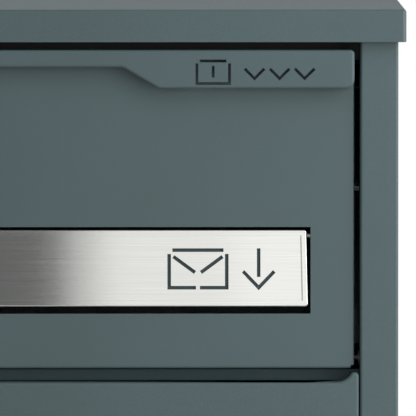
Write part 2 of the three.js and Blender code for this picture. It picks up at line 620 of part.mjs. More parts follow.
hingeHeights.forEach((z, i) => {
  const place = ["bottom", "top"][i];
  const wall = -jamb + gap;
  const behindDoor = stileFace + door.depth + 5 * gap;
  const leg = box(wall, wall + hinge.tab, behindDoor, behindDoor + hinge.leg, z - hinge.lug, z + 2 * hinge.lug);
  const arm = box(hingeX - hinge.tabHalf, hingeX + hinge.tabHalf, hingeY, behindDoor + hinge.lug, z, z + hinge.tab);
  const web = box(wall + 1, hingeX + hinge.tabHalf, behindDoor, behindDoor + hinge.lug, z, z + hinge.tab);
  const boss = rodZ(hinge.boss, hingeX, hingeY, z, z + hinge.tab);
  const bore = rodZ(hinge.pinRadius + gap, hingeX, hingeY, z - 1, z + hinge.tab + 1);
  piece(`hinge_bracket_${place}`, cut(join(leg, arm, web, boss), bore), zinc);

  const lugHalf = hinge.inset - sheet - 2.2 * gap;
  const lugBottom = z + hinge.tab + gap;
  const lug = box(hingeX - lugHalf, hingeX + lugHalf, hingeY - lugHalf, hingeY + lugHalf, lugBottom, lugBottom + hinge.lug);
  const lugBore = rodZ(hinge.pinRadius + gap, hingeX, hingeY, lugBottom - 1, lugBottom + hinge.lug + 1);
  piece(`hinge_lug_${place}`, cut(lug, lugBore), zinc);
  const headBottom = lugBottom + hinge.lug + gap;
  const pin = rodZ(hinge.pinRadius, hingeX, hingeY, headBottom - hinge.pinLength, headBottom + 1);
  const head = rodZ(hinge.pinRadius + 1.5, hingeX, hingeY, headBottom, headBottom + 2);
  piece(`hinge_pin_${place}`, join(pin, head), brass);
});

// ---- cam lock ----------------------------------------------------------------------------
const barrelEnd = stileFace + lock.depth - sheet / 2;
const camFront = stileFace + lock.depth + 4;
const lockBore = rodY(lock.bore, lockX, lockZ, stileFace - 5, barrelEnd + 1);
const lockFlange = rodY(lock.flange, lockX, lockZ, stileFace - gap - lock.flangeProud, stileFace - gap);
const lockBarrel = rodY(lock.barrel, lockX, lockZ, stileFace - gap - 1, barrelEnd);
piece("lock_housing", cut(join(lockFlange, lockBarrel), lockBore), zinc);

const nutShape = shapeOf(Array.from({ length: 6 }, (_, i) => {
  const angle = (Math.PI / 3) * i;
  return [lockX + lock.nut * Math.cos(angle), lockZ + lock.nut * Math.sin(angle)];
}));
nutShape.holes = [disc(lock.barrel + gap, lockX, lockZ)];
piece("lock_nut", alongY(nutShape, skinBack - half, skinBack - half + lock.nutThickness), zinc);

const plugFace = stileFace - gap - lock.flangeProud - gap;
const keyway = box(lockX - lock.keyWidth / 2, lockX + lock.keyWidth / 2, plugFace - 1, plugFace + lock.keyDepth,
  lockZ - lock.keyHeight / 2, lockZ + lock.keyHeight / 2);
const screwHole = rodY(lock.screw + gap, lockX, lockZ, camFront - gap - lock.keyDepth, camFront);
piece("lock_plug", cut(rodY(lock.plug, lockX, lockZ, plugFace, camFront - gap), keyway, screwHole), brass);

// At rest the cam hangs down, unlocked; a quarter turn puts it behind the strike.
function camShape() {
  const w = lock.camWidth / 2;
  const shape = new THREE.Shape();
  shape.absarc(lockX, lockZ, w, 0, Math.PI, false);
  shape.lineTo(lockX - w + 1.5, lockZ - lock.camLength);
  shape.lineTo(lockX + w - 1.5, lockZ - lock.camLength);
  shape.holes = [disc(lock.screw + gap, lockX, lockZ)];
  return shape;
}
const camBack = camFront + lock.camThickness;
piece("lock_cam", alongY(camShape(), camFront, camBack), zinc);
const screwShank = rodY(lock.screw, lockX, lockZ, camFront - lock.keyDepth + 2, camBack + gap + 1);
const screwHead = rodY(lock.screwHead, lockX, lockZ, camBack + gap, camBack + gap + 2.5);
piece("lock_cam_screw", join(screwShank, screwHead), zinc);

const strikePath = [
  [jamb - gap - strike.reach, stileFace + strike.setback + half],
  [jamb - gap - half, stileFace + strike.setback + half],
  [jamb - gap - half, stileFace + stile.returnDepth - 1],
];
piece("strike_plate",
  alongZ(foldedStrip(strikePath), lockZ - strike.height / 2, lockZ + strike.height / 2), zinc);

export default root;
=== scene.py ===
import bmesh
import bpy
import numpy as np
from mathutils import Matrix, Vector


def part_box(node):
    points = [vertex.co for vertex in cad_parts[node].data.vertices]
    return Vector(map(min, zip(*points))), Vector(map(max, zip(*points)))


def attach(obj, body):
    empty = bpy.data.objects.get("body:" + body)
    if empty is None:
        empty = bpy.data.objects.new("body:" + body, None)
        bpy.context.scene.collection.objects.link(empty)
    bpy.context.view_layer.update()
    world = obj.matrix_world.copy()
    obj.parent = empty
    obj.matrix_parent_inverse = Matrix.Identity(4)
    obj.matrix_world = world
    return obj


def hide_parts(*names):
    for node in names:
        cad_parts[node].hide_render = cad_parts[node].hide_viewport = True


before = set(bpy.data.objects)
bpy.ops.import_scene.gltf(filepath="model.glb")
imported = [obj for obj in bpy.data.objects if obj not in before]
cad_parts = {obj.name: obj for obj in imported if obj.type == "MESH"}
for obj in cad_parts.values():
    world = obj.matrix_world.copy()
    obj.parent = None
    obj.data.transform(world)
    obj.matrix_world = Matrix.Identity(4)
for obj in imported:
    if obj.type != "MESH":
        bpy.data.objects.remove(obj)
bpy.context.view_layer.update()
mm = 0.001

# ---- Camera -----------------------------------------------------------------------------------
# A long lens a little left of the hopper's middle and above the lid, aimed at the box's upper right
# corner, so that upright and level edges stay almost parallel in the picture.
target = np.array([88.0 * mm, -168 * mm, 851.4 * mm])
eye = np.array([0.0, -9.2, 1.316])
across = 332.0 * mm  # width that the picture takes in at the box's front
distance = np.linalg.norm(target - eye)

camera = bpy.data.objects.new("camera", bpy.data.cameras.new("camera"))
camera.data.sensor_width = 36.0
camera.data.lens = 36.0 * distance / across
camera.data.clip_start = 0.5
camera.data.clip_end = 80.0
way = (target - eye) / distance
right = np.cross(way, (0, 0, 1))
right /= np.linalg.norm(right)
upward = np.cross(right, way)
placed = np.identity(4)
placed[:3, 0], placed[:3, 1], placed[:3, 2], placed[:3, 3] = right, upward, -way, eye
camera.matrix_world = Matrix(placed.tolist())
bpy.context.collection.objects.link(camera)
bpy.context.scene.camera = camera

# ---- Light and floor --------------------------------------------------------------------------
# A white studio: an even surround, three overlapping panels ahead that the steel flap mirrors, a light on
# each side of the front, one above it that isn't mirrored, and three large ones at the sides and behind.
# The floor fades into the white.
view_settings = bpy.context.scene.view_settings
view_settings.view_transform = "Standard"

surround = bpy.data.worlds.new("studio")
bpy.context.scene.world = surround
surround.use_nodes = True
nodes, links = surround.node_tree.nodes, surround.node_tree.links
nodes.clear()
seen = nodes.new("ShaderNodeBackground")
seen.inputs["Color"].default_value = (1.0, 1.0, 1.0, 1)
seen.inputs["Strength"].default_value = 1.0
lit = nodes.new("ShaderNodeBackground")
lit.inputs["Color"].default_value = (0.96, 0.985, 1.0, 1)
lit.inputs["Strength"].default_value = 0.19
ray = nodes.new("ShaderNodeLightPath")
choose = nodes.new("ShaderNodeMixShader")
out = nodes.new("ShaderNodeOutputWorld")
links.new(ray.outputs["Is Camera Ray"], choose.inputs["Fac"])
links.new(lit.outputs[0], choose.inputs[1])
links.new(seen.outputs[0], choose.inputs[2])
links.new(choose.outputs[0], out.inputs["Surface"])


def soft_box(name, place, aim, width, height, watts, colour=(1, 1, 1), mirrored=True):
    """A rectangular area light at place, facing aim, with its width level and its height upright."""
    light = bpy.data.lights.new(name, "AREA")
    light.shape, light.size, light.size_y = "RECTANGLE", width, height
    light.energy, light.color = watts, colour
    lamp = bpy.data.objects.new(name, light)
    bpy.context.collection.objects.link(lamp)
    back = np.array(place, float) - np.array(aim, float)
    back /= np.linalg.norm(back)
    side = np.cross((0, 0, 1), back) if abs(back[2]) < 0.99 else np.array([1.0, 0, 0])
    side /= np.linalg.norm(side)
    frame_of = np.identity(4)
    frame_of[:3, 0], frame_of[:3, 1], frame_of[:3, 2] = side, np.cross(back, side), back
    frame_of[:3, 3] = place
    lamp.matrix_world = Matrix(frame_of.tolist())
    lamp.visible_camera = False
    lamp.visible_glossy = mirrored


soft_box("key_panel", (0.27, -1.15, 0.95), (0.27, 0, 0.95), 0.60, 1.5, 1.72)
soft_box("key_inner", (0.285, -1.16, 0.95), (0.285, 0, 0.95), 0.57, 1.5, 1.13)
soft_box("key_outer", (0.345, -1.17, 0.95), (0.345, 0, 0.95), 0.45, 1.5, 0.33)
soft_box("side_right", (1.3, -0.88, 1.15), (0.1, -0.1, 0.85), 0.7, 1.5, 20.5)
soft_box("side_left", (-0.85, -1.15, 0.95), (-0.85, 0, 0.95), 1.1, 1.5, 1.2)
soft_box("above_front", (0.5, -1.3, 2.9), (0.1, 0, 0.9), 1.8, 1.4, 24.0, mirrored=False)
soft_box("from_left", (-2.4, 0.5, 1.7), (0, 0, 0.7), 1.8, 1.8, 26.0)
soft_box("from_right", (2.4, 0.6, 1.7), (0, 0, 0.7), 1.8, 1.8, 26.0)
soft_box("from_behind", (-0.3, 3.0, 1.5), (0.1, 0, 1.0), 3.4, 2.2, 14.0)

floor_half = 2.0
fade_start, fade_end = 0.8, 1.9  # distances from the middle between which the floor turns transparent
floor_corners = [(x * floor_half, y * floor_half, 0) for x, y in ((-1, -1), (1, -1), (1, 1), (-1, 1))]
floor_mesh = bpy.data.meshes.new("floor")
floor_mesh.from_pydata(floor_corners, [], [(0, 1, 2, 3)])
floor = bpy.data.objects.new("floor", floor_mesh)
bpy.context.collection.objects.link(floor)
paper = bpy.data.materials.new("pale_floor")
paper.use_nodes = True
floor_surface = paper.node_tree.nodes["Principled BSDF"]
floor_surface.inputs["Base Color"].default_value = (0.72, 0.72, 0.71, 1)
floor_surface.inputs["Roughness"].default_value = 0.7
reach = paper.node_tree.nodes.new("ShaderNodeVectorMath")
reach.operation = "LENGTH"
fade = paper.node_tree.nodes.new("ShaderNodeMapRange")
fade.interpolation_type = "SMOOTHSTEP"
fade.inputs["From Min"].default_value, fade.inputs["From Max"].default_value = fade_start, fade_end
fade.inputs["To Min"].default_value, fade.inputs["To Max"].default_value = 1.0, 0.0
spot = paper.node_tree.nodes.new("ShaderNodeTexCoord")
paper.node_tree.links.new(spot.outputs["Object"], reach.inputs[0])
paper.node_tree.links.new(reach.outputs["Value"], fade.inputs["Value"])
paper.node_tree.links.new(fade.outputs["Result"], floor_surface.inputs["Alpha"])
floor_mesh.materials.append(paper)

# ---- Powder coat ------------------------------------------------------------------------------
# Every outer sheet is sprayed with one blue-grey polyester powder and stoved. The cured film flows into
# a fine orange peel with a still finer grit, and its shade drifts slightly over a panel.


def shader(name, colour, roughness, metallic=0.0):
    """A new material, its node tree, its principled shader and its Object coordinates."""
    material = bpy.data.materials.new(name)
    material.use_nodes = True
    tree = material.node_tree
    surface = tree.nodes["Principled BSDF"]
    surface.inputs["Base Color"].default_value = (*colour, 1)
    surface.inputs["Roughness"].default_value = roughness
    surface.inputs["Metallic"].default_value = metallic
    place = tree.nodes.new("ShaderNodeTexCoord").outputs["Object"]
    return material, tree, surface, place


def noise(tree, place, scale, detail=2.0, rough=0.5, stretch=None):
    """Noise with cells about 1/scale metres wide, drawn out along an axis where stretch is small."""
    if stretch:
        mapping = tree.nodes.new("ShaderNodeMapping")
        mapping.inputs["Scale"].default_value = stretch
        tree.links.new(place, mapping.inputs["Vector"])
        place = mapping.outputs["Vector"]
    made = tree.nodes.new("ShaderNodeTexNoise")
    made.inputs["Scale"].default_value = scale
    made.inputs["Detail"].default_value = detail
    made.inputs["Roughness"].default_value = rough
    tree.links.new(place, made.inputs["Vector"])
    return made.outputs["Fac"]


def spread(tree, value, low, high, start=0.3, end=0.7):
    """The value's range from start to end, mapped to the range from low to high."""
    made = tree.nodes.new("ShaderNodeMapRange")
    made.inputs["From Min"].default_value, made.inputs["From Max"].default_value = start, end
    made.inputs["To Min"].default_value, made.inputs["To Max"].default_value = low, high
    tree.links.new(value, made.inputs["Value"])
    return made.outputs["Result"]


def tint(tree, value, dark, light):
    """A colour between dark and light by the value."""
    made = tree.nodes.new("ShaderNodeMix")
    made.data_type = "RGBA"
    made.inputs["A"].default_value, made.inputs["B"].default_value = (*dark, 1), (*light, 1)
    tree.links.new(value, made.inputs["Factor"])
    return made.outputs["Result"]


def relief(tree, surface, layers):
    """Bump from several layers, each a value and the height in metres that it stands for."""
    normal = None
    for value, height, strength in layers:
        bump = tree.nodes.new("ShaderNodeBump")
        bump.inputs["Distance"].default_value = height
        bump.inputs["Strength"].default_value = strength
        tree.links.new(value, bump.inputs["Height"])
        if normal is not None:
            tree.links.new(normal, bump.inputs["Normal"])
        normal = bump.outputs["Normal"]
    tree.links.new(normal, surface.inputs["Normal"])


def flecked(tree, colour, value, amount):
    """The colour multiplied by a grey from 1 - amount to 1 + amount by the value."""
    made = tree.nodes.new("ShaderNodeMix")
    made.data_type, made.blend_type = "RGBA", "MULTIPLY"
    made.inputs["Factor"].default_value = 1.0
    tree.links.new(colour, made.inputs["A"])
    tree.links.new(tint(tree, value, (1 - amount,) * 3, (1 + amount,) * 3), made.inputs["B"])
    return made.outputs["Result"]


def powder(name, colour, roughness):
    """Powder coat: a drift of shade over a hand's width, orange peel at 1.6 mm and grit at 0.7 mm."""
    material, tree, surface, place = shader(name, colour, roughness)
    colour = np.array(colour)
    drift = noise(tree, place, 7.0, 3.0)
    grit = noise(tree, place, 1500.0, 2.0, 0.6)
    peel = noise(tree, place, 620.0, 2.0)
    shade = tint(tree, spread(tree, drift, 0, 1), tuple(colour * 0.96), tuple(colour * 1.04))
    tree.links.new(flecked(tree, shade, spread(tree, grit, 0, 1), 0.10), surface.inputs["Base Color"])
    tree.links.new(spread(tree, peel, roughness - 0.04, roughness + 0.05), surface.inputs["Roughness"])
    relief(tree, surface, [(peel, 0.10 * mm, 0.35), (grit, 0.03 * mm, 0.45)])
    surface.inputs["Specular IOR Level"].default_value = 0.45
    return material


coat = powder("blue_grey_powder", (0.062, 0.095, 0.101), 0.52)
# A darker, duller copy of the coat: painted shade for the divider's recess behind the door's notch.
shaded_divider_coat = powder("blue_grey_powder_painted_shade", (0.044, 0.080, 0.090), 0.62)
dark_coat = powder("slate_powder", (0.030, 0.048, 0.052), 0.6)

# ---- Lid --------------------------------------------------------------------------------------
# One blank folded down on all four sides into a shallow pan, its corners welded and dressed round
# before coating. Channels spot-welded under it take the four screws that come up from inside.


def outline(corners, inset, per_corner=6):
    """Points round a closed outline of corners (x, y, radius), counterclockwise, moved inwards by inset.

    Each corner moves along its bisector, and becomes an arc tangent to both sides: the arc's centre is one
    radius to the inside of its first tangent point, and the spoke to that point turns through the corner's
    angle. A convex radius shrinks by the inset and a concave one grows by it.
    """
    place, radius = np.array(corners, float)[:, :2], np.array(corners, float)[:, 2]
    before = place - np.roll(place, 1, axis=0)
    before /= np.linalg.norm(before, axis=1, keepdims=True)
    after = np.roll(before, -1, axis=0)
    turn = np.arctan2(before[:, 0] * after[:, 1] - before[:, 1] * after[:, 0], (before * after).sum(axis=1))
    inwards = np.stack([-before[:, 1], before[:, 0]], axis=1)
    corner = place + inwards * inset - before * (inset * np.tan(turn / 2))[:, None]
    arc = np.maximum(radius - np.sign(turn) * inset, 0.15 * mm)
    start = corner - before * (arc * np.abs(np.tan(turn / 2)))[:, None]
    centre = start + inwards * (np.sign(turn) * arc)[:, None]
    spoke = start - centre
    angle = turn[:, None] * np.linspace(0, 1, per_corner + 1)[None, :]
    u = centre[:, :1] + np.cos(angle) * spoke[:, :1] - np.sin(angle) * spoke[:, 1:]
    v = centre[:, 1:] + np.sin(angle) * spoke[:, :1] + np.cos(angle) * spoke[:, 1:]
    return np.stack([u.ravel(), v.ravel()], axis=1)


def pan_rings(depth, sheet, radius, facets=8):
    """Rings (inset, depth) of a folded pan: flat face, quarter-round fold, straight return, and back inside.

    Round the fold, the inset is the radius less the arc's radius times the sine of the angle, and the depth
    is the radius less the arc's radius times its cosine.
    """
    angle = np.linspace(0, np.pi / 2, facets + 1)
    outer = np.stack([radius - radius * np.sin(angle), radius - radius * np.cos(angle)], axis=1)
    inner = radius - sheet
    inside = np.stack([radius - inner * np.sin(angle), radius - inner * np.cos(angle)], axis=1)[::-1]
    flat, rim = 2.5 * sheet, 0.2 * sheet
    edge_of = [[0, depth - rim], [rim, depth], [sheet - rim, depth], [sheet, depth - rim]]
    return np.concatenate([[[radius + flat, 0]], outer, edge_of, inside, [[radius + flat, sheet]]])


def build(name, points, faces):
    """A mesh object from points and faces."""
    mesh = bpy.data.meshes.new(name)
    mesh.from_pydata(points, [], faces)
    mesh.validate()
    made = bpy.data.objects.new(name, mesh)
    bpy.context.collection.objects.link(made)
    return made


def tube_faces(rings, count, closed):
    """Quads between successive rings of count points each, numbered ring by ring."""
    ring, point = np.meshgrid(np.arange(rings - 1), np.arange(count if closed else count - 1), indexing="ij")
    low, high = ring * count + point, ring * count + (point + 1) % count
    return np.stack([low, low + count, high + count, high], axis=-1).reshape(-1, 4).tolist()


def pan(name, corners, rings, to_space):
    """A sheet-metal pan: the outline at each (inset, depth) ring, skinned in order, flat at both ends."""
    loops = [outline(corners, inset) for inset, _ in rings]
    count = len(loops[0])
    points = np.concatenate([np.column_stack([loop, np.full(count, depth)])
                             for loop, (_, depth) in zip(loops, rings)])
    last = (len(rings) - 1) * count
    faces = tube_faces(len(rings), count, True)
    faces += [list(range(count)), list(range(last + count - 1, last - 1, -1))]
    return build(name, to_space(points), faces)


def smooth(made, sharp_degrees=30.0):
    """Smooth shading that keeps edges over the given angle, with the large flat faces' normals winning."""
    made.data.shade_smooth()
    made.data.set_sharp_from_angle(angle=np.radians(sharp_degrees))
    weigh = made.modifiers.new("flat_faces", "WEIGHTED_NORMAL")
    weigh.keep_sharp = True
    weigh.weight = 60


def finish(made, material, body, slot, *replaced, edge=None, sharp=30.0):
    """Gives a piece its material, dressed edges and body, and hides the CAD nodes that it stands for. The
    slot is not used.
    """
    made.data.materials.clear()
    made.data.materials.append(material)
    if edge:
        bevel = made.modifiers.new("dressed_edges", "BEVEL")
        bevel.width, bevel.segments, bevel.limit_method = edge, 2, "ANGLE"
        bevel.angle_limit, bevel.use_clamp_overlap = np.radians(50), True
    smooth(made, sharp)
    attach(made, body)
    if replaced:
        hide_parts(*replaced)


sheet = 1.5 * mm
fold = 2.3 * mm
dressed = 3.3 * mm
(lid_x0, lid_y0, lid_z0), (lid_x1, lid_y1, lid_z1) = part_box("lid_cap")


def rectangle(x0, x1, y0, y1, radius):
    return [(x0, y0, radius), (x1, y0, radius), (x1, y1, radius), (x0, y1, radius)]


lid = pan("lid", rectangle(lid_x0, lid_x1, lid_y0, lid_y1, dressed), pan_rings(lid_z1 - lid_z0, sheet, fold),
          lambda p: np.column_stack([p[:, 0], p[:, 1], lid_z1 - p[:, 2]]))
finish(lid, coat, "cabinet", "powder_coat", "lid_cap")

# ---- Side panels ------------------------------------------------------------------------------
# Each is one sheet with four folds: the front stile with its return into the cabinet, the side, and the
# rear flange that the back panel is riveted to.


def folded_line(points, radius, facets=8):
    """The middle line of a folded strip and its direction at each point.

    Between straight runs the line turns on an arc of the given radius: its centre lies square to the run
    before, and the direction turns evenly through the corner's angle.
    """
    points = np.array(points, float)
    runs = np.diff(points, axis=0)
    runs /= np.linalg.norm(runs, axis=1, keepdims=True)
    line, way = [points[0]], [runs[0]]
    for corner, before, after in zip(points[1:-1], runs[:-1], runs[1:]):
        turn = np.arctan2(before[0] * after[1] - before[1] * after[0], before @ after)
        start = corner - before * radius * np.tan(abs(turn) / 2)
        centre = start + np.sign(turn) * radius * np.array([-before[1], before[0]])
        angle = turn * np.linspace(0, 1, facets + 1)
        turned = np.stack([np.cos(angle), np.sin(angle)], axis=1)
        for vector, list_of, origin in ((start - centre, line, centre), (before, way, 0)):
            u = turned[:, 0] * vector[0] - turned[:, 1] * vector[1]
            v = turned[:, 1] * vector[0] + turned[:, 0] * vector[1]
            list_of.extend(origin + np.stack([u, v], axis=1))
    line.append(points[-1])
    way.append(runs[-1])
    return np.array(line), np.array(way)


def turn_outwards(made):
    """Points every face of a closed mesh outwards."""
    work = bmesh.new()
    work.from_mesh(made.data)
    bmesh.ops.remove_doubles(work, verts=work.verts, dist=1e-7)
    bmesh.ops.recalc_face_normals(work, faces=work.faces)
    work.to_mesh(made.data)
    work.free()


def swept(name, line, way, start, end, to_space):
    """A sheet along a middle line: offset half its thickness to each side, carried straight along."""
    beside = np.stack([-way[:, 1], way[:, 0]], axis=1) * sheet / 2
    section = np.concatenate([line - beside, (line + beside)[::-1]])
    count = len(section)
    points = np.concatenate([np.column_stack([section, np.full(count, level)]) for level in (start, end)])
    along = np.arange(count // 2 - 1)
    near = np.stack([along, along + 1, count - 2 - along, count - 1 - along], axis=1)
    faces = tube_faces(2, count, True) + near.tolist() + (near + count)[:, ::-1].tolist()
    made = build(name, to_space(points), faces)
    turn_outwards(made)
    return made


def strip(name, corners, start, end, to_space):
    """A folded strip from the corners of its middle line, with every fold at the same radius."""
    return swept(name, *folded_line(corners, fold - sheet / 2), start, end, to_space)


def straight_up(p):
    """Drawn in X and Y, carried along Z."""
    return p


def sideways(p):
    """Drawn in Y and Z, carried along X."""
    return np.column_stack([p[:, 2], p[:, 0], p[:, 1]])


def front_to_back(p):
    """Drawn in X and Z, carried along Y."""
    return np.column_stack([p[:, 0], p[:, 2], p[:, 1]])


half_sheet = sheet / 2
cut_edge = 0.25 * mm
opening_half, return_depth, rear_flange = 209.5 * mm, 42 * mm, 25 * mm
for side, sign in (("left", -1), ("right", 1)):
    (x0, y0, z0), (x1, y1, z1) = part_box(f"{side}_side_panel")
    outer = x0 if sign < 0 else x1
    jamb, wall = sign * (opening_half + half_sheet), outer - sign * half_sheet
    path = [(jamb, y0 + return_depth), (jamb, y0 + half_sheet), (wall, y0 + half_sheet),
            (wall, y1 - half_sheet), (outer - sign * rear_flange, y1 - half_sheet)]
    finish(strip(f"{side}_side", path, z0, z1, straight_up), coat, "cabinet", "powder_coat",
           f"{side}_side_panel", edge=cut_edge)

# ---- Hopper front -----------------------------------------------------------------------------
# A shallow folded pan with the letter slot punched through it and its lower corners nipped off, so that
# the folds don't bind on the jambs as the hopper tips forward.

past = 1 * mm  # how far a cutting tool reaches past what it cuts


def block(x0, x1, y0, y1, z0, z1):
    """A box as a cutting tool."""
    points = [(x, y, z) for x in (x0, x1) for y in (y0, y1) for z in (z0, z1)]
    faces = [(0, 1, 3, 2), (4, 6, 7, 5), (0, 4, 5, 1), (2, 3, 7, 6), (0, 2, 6, 4), (1, 5, 7, 3)]
    return build("tool", points, faces)


def rod(axis, radius, u, v, start, end, sides=48):
    """A round bar along an axis, as a cutting tool; u and v are its centre in the other two, in order."""
    angle = np.linspace(0, 2 * np.pi, sides, endpoint=False)
    ring = np.stack([u + radius * np.cos(angle), v + radius * np.sin(angle)], axis=1)
    points = np.concatenate([np.insert(ring, axis, level, axis=1) for level in (start, end)])
    ends = [list(range(sides))[::-1], list(range(sides, 2 * sides))]
    made = build("tool", points, tube_faces(2, sides, True) + ends)
    turn_outwards(made)
    return made


def cut(made, *tools):
    """Cuts the tools out of a piece, leaving a plain mesh."""
    turn_outwards(made)
    for tool in tools:
        turn_outwards(tool)
        boolean = made.modifiers.new("cut", "BOOLEAN")
        boolean.solver, boolean.operation, boolean.object = "EXACT", "DIFFERENCE", tool
        boolean.use_self = True
    bpy.context.view_layer.update()
    result = bpy.data.meshes.new_from_object(made.evaluated_get(bpy.context.evaluated_depsgraph_get()))
    made.modifiers.clear()
    made.data = result
    for tool in tools:
        bpy.data.objects.remove(tool)
    return made


def strokes(lines, width, x, z, y0, y1):
    """Straight bars through a sheet, each from one end to the other and half a width past both."""
    ends = np.array(lines, float).reshape(-1, 2, 2) * mm + (x, z)
    way = ends[:, 1] - ends[:, 0]
    way /= np.linalg.norm(way, axis=1, keepdims=True)
    side = np.stack([-way[:, 1], way[:, 0]], axis=1) * width / 2
    start, end = ends[:, 0] - way * width / 2, ends[:, 1] + way * width / 2
    corners = np.stack([start - side, end - side, end + side, start + side], axis=1)
    layers = [np.insert(corners, 1, level, axis=2) for level in (y0, y1)]
    points = np.concatenate(layers, axis=1).reshape(-1, 3)
    faces = [(0, 1, 2, 3), (7, 6, 5, 4), (0, 4, 5, 1), (1, 5, 6, 2), (2, 6, 7, 3), (3, 7, 4, 0)]
    return build("tool", points, [[8 * bar + i for i in face] for bar in range(len(lines)) for face in faces])


def facing_front(face):
    """Drawn in X and Z, with the depth going back from the given face."""
    return lambda p: np.column_stack([p[:, 0], face + p[:, 2], p[:, 1]])


(hop_x0, hop_y0, hop_z0), (hop_x1, hop_y1, hop_z1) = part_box("hopper_front")
slot_half, slot_z0, slot_z1 = 170 * mm, hop_z0 + 43.8 * mm, hop_z0 + 113.2 * mm
nip = 2.8 * mm
pin_y, pin_z, pin_radius = hop_y0 + 8 * mm, hop_z0 + 8.5 * mm, 2.8 * mm
hopper = pan("hopper_panel", rectangle(hop_x0, hop_x1, hop_z0, hop_z1, dressed),
             pan_rings(hop_y1 - hop_y0, sheet, fold), facing_front(hop_y0))
cut(hopper,
    block(-slot_half, slot_half, hop_y0 - past, hop_y0 + 4 * mm, slot_z0, slot_z1),
    rod(0, pin_radius, pin_y, pin_z, hop_x0 - past, hop_x1 + past),
    block(hop_x0 - past, hop_x0 + nip, hop_y0 - past, hop_y1 + past, hop_z0 - past, hop_z0 + nip),
    block(hop_x1 - nip, hop_x1 + past, hop_y0 - past, hop_y1 + past, hop_z0 - past, hop_z0 + nip))
finish(hopper, coat, "hopper", "powder_coat", "hopper_front", edge=cut_edge)

# ---- Pull lip ---------------------------------------------------------------------------------
# A second pan welded across the hopper's top, open below for fingers and deeper on the right, where the
# opening instructions are cut through it: a carton, and chevrons that say to pull down.

fine_edge = 0.2 * mm
carton = [[0, 0, 26, 0], [0, 0, 0, 15], [26, 0, 26, 15], [3.5, 18, 22.5, 18], [13, 6, 13, 13]]
chevrons = [[at + a, b, at + c, d] for at in (39, 59, 79) for a, b, c, d in ([0, 11, 7, 4], [7, 4, 14, 11])]
(lip_x0, lip_y0, lip_z0), (lip_x1, lip_y1, lip_z1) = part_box("pull_lip")
shallow, wing, slope = lip_z1 - 13.7 * mm, lip_x1 - 156.5 * mm, 28.8 * mm
lip_shape = [(lip_x0, shallow, dressed), (wing - slope, shallow, 6 * mm), (wing, lip_z0, 6 * mm),
             (lip_x1, lip_z0, 7 * mm), (lip_x1, lip_z1, dressed), (lip_x0, lip_z1, dressed)]
lip = pan("pull_lip_cover", lip_shape, pan_rings(lip_y1 - lip_y0, sheet, fold), facing_front(lip_y0))
cut(lip,
    block(lip_x0 + 2 * sheet, lip_x1 - 7 * mm, lip_y0 + 4 * mm, lip_y1 + 2 * mm,
          lip_z0 - past, shallow + 2 * sheet),
    strokes(carton + chevrons, 2.2 * mm, lip_x1 - 125.8 * mm, lip_z0 + 4 * mm,
            lip_y0 - past, lip_y0 + 3 * mm))
finish(lip, coat, "hopper", "powder_coat", "pull_lip", edge=fine_edge)

# ---- Letter flap ------------------------------------------------------------------------------
# A 1 mm stainless plate with a border pressed back all round and its sides returned to the hinge rod. It
# is brushed along its length, and marks for letters are cut through it to a painted backing plate.


def steel(name, colour, roughness, streak, height):
    """Brushed steel: scratches 0.2 mm wide and 70 mm long along X, over broader ones."""
    material, tree, surface, place = shader(name, colour, roughness, 1.0)
    fine = noise(tree, place, 1.0, 3.0, 0.65, (14.0, 60.0, 4600.0))
    broad = noise(tree, place, 1.0, 2.0, 0.5, (7.0, 30.0, 1300.0))
    base = np.array(colour)
    shade = tint(tree, spread(tree, broad, 0, 1), tuple(base * 0.97), tuple(np.minimum(base * 1.03, 1)))
    worn = flecked(tree, shade, spread(tree, fine, 0, 1), streak)
    tree.links.new(worn, surface.inputs["Base Color"])
    tree.links.new(spread(tree, fine, roughness - 0.03, roughness + 0.04), surface.inputs["Roughness"])
    relief(tree, surface, [(fine, height, 0.5), (broad, height, 0.3)])
    surface.inputs["Anisotropic"].default_value = 0.95
    surface.inputs["Anisotropic Rotation"].default_value = 0.25
    return material


brushed = steel("brushed_stainless", (0.63, 0.63, 0.605), 0.13, 0.05, 0.010 * mm)
drawn = steel("drawn_stainless", (0.24, 0.24, 0.235), 0.40, 0.05, 0.010 * mm)
flap_y, flap_z = hop_y0 + 4.5 * mm, slot_z1 - 7.0 * mm
lean = np.radians(4.0)
plate_face, backing_face = -4.5 * mm, -3.2 * mm  # in front of the hinge axis


def lean_over(made):
    """Turns a piece drawn about the hinge axis out at the bottom, about X, and moves it to the hinge."""
    co = np.empty(len(made.data.vertices) * 3)
    made.data.vertices.foreach_get("co", co)
    x, y, z = co.reshape(-1, 3).T
    leaned = np.column_stack([x, flap_y + y * np.cos(lean) + z * np.sin(lean),
                              flap_z - y * np.sin(lean) + z * np.cos(lean)])
    made.data.vertices.foreach_set("co", leaned.ravel())


flap_half, flap_low, flap_high = 168 * mm, -56.8 * mm, 4.6 * mm
flap_shape = [(-flap_half, flap_low, 2 * mm), (flap_half, flap_low, 2 * mm),
              (flap_half - 1.4 * mm, flap_high, 2 * mm), (-flap_half + 1.4 * mm, flap_high, 2 * mm)]
flap_rings = np.array([
    [5.3, 0], [5.05, 0.02], [4.85, 0.07], [4.7, 0.13], [4.5, 0.16], [4.3, 0.14], [4.1, 0.1], [3.9, 0.09],
    [3.5, 0.12], [1.2, 0.4], [0.85, 0.48], [0.5, 0.64], [0.22, 0.95], [0.05, 1.4], [0, 1.9], [0, 8.3],
    [0.2, 8.5], [0.8, 8.5], [1, 8.3], [1, 2.2], [1.15, 1.9], [1.4, 1.7], [3.9, 1.15], [5.3, 1]]) * mm
envelope = [[0, 0, 20, 0], [26, 0, 46, 0], [0, 0, 0, 25.5], [46, 0, 46, 25.5], [4, 30, 42, 30],
            [4.5, 24, 19.5, 13], [41.5, 24, 26.5, 13]]
arrow = [[58 + a, b, 58 + c, d] for a, b, c, d in ([13.5, 30, 13.5, 10], [2, 12, 13.5, 0], [13.5, 0, 25, 12])]
plate = pan("flap_cover", flap_shape, flap_rings, facing_front(plate_face))
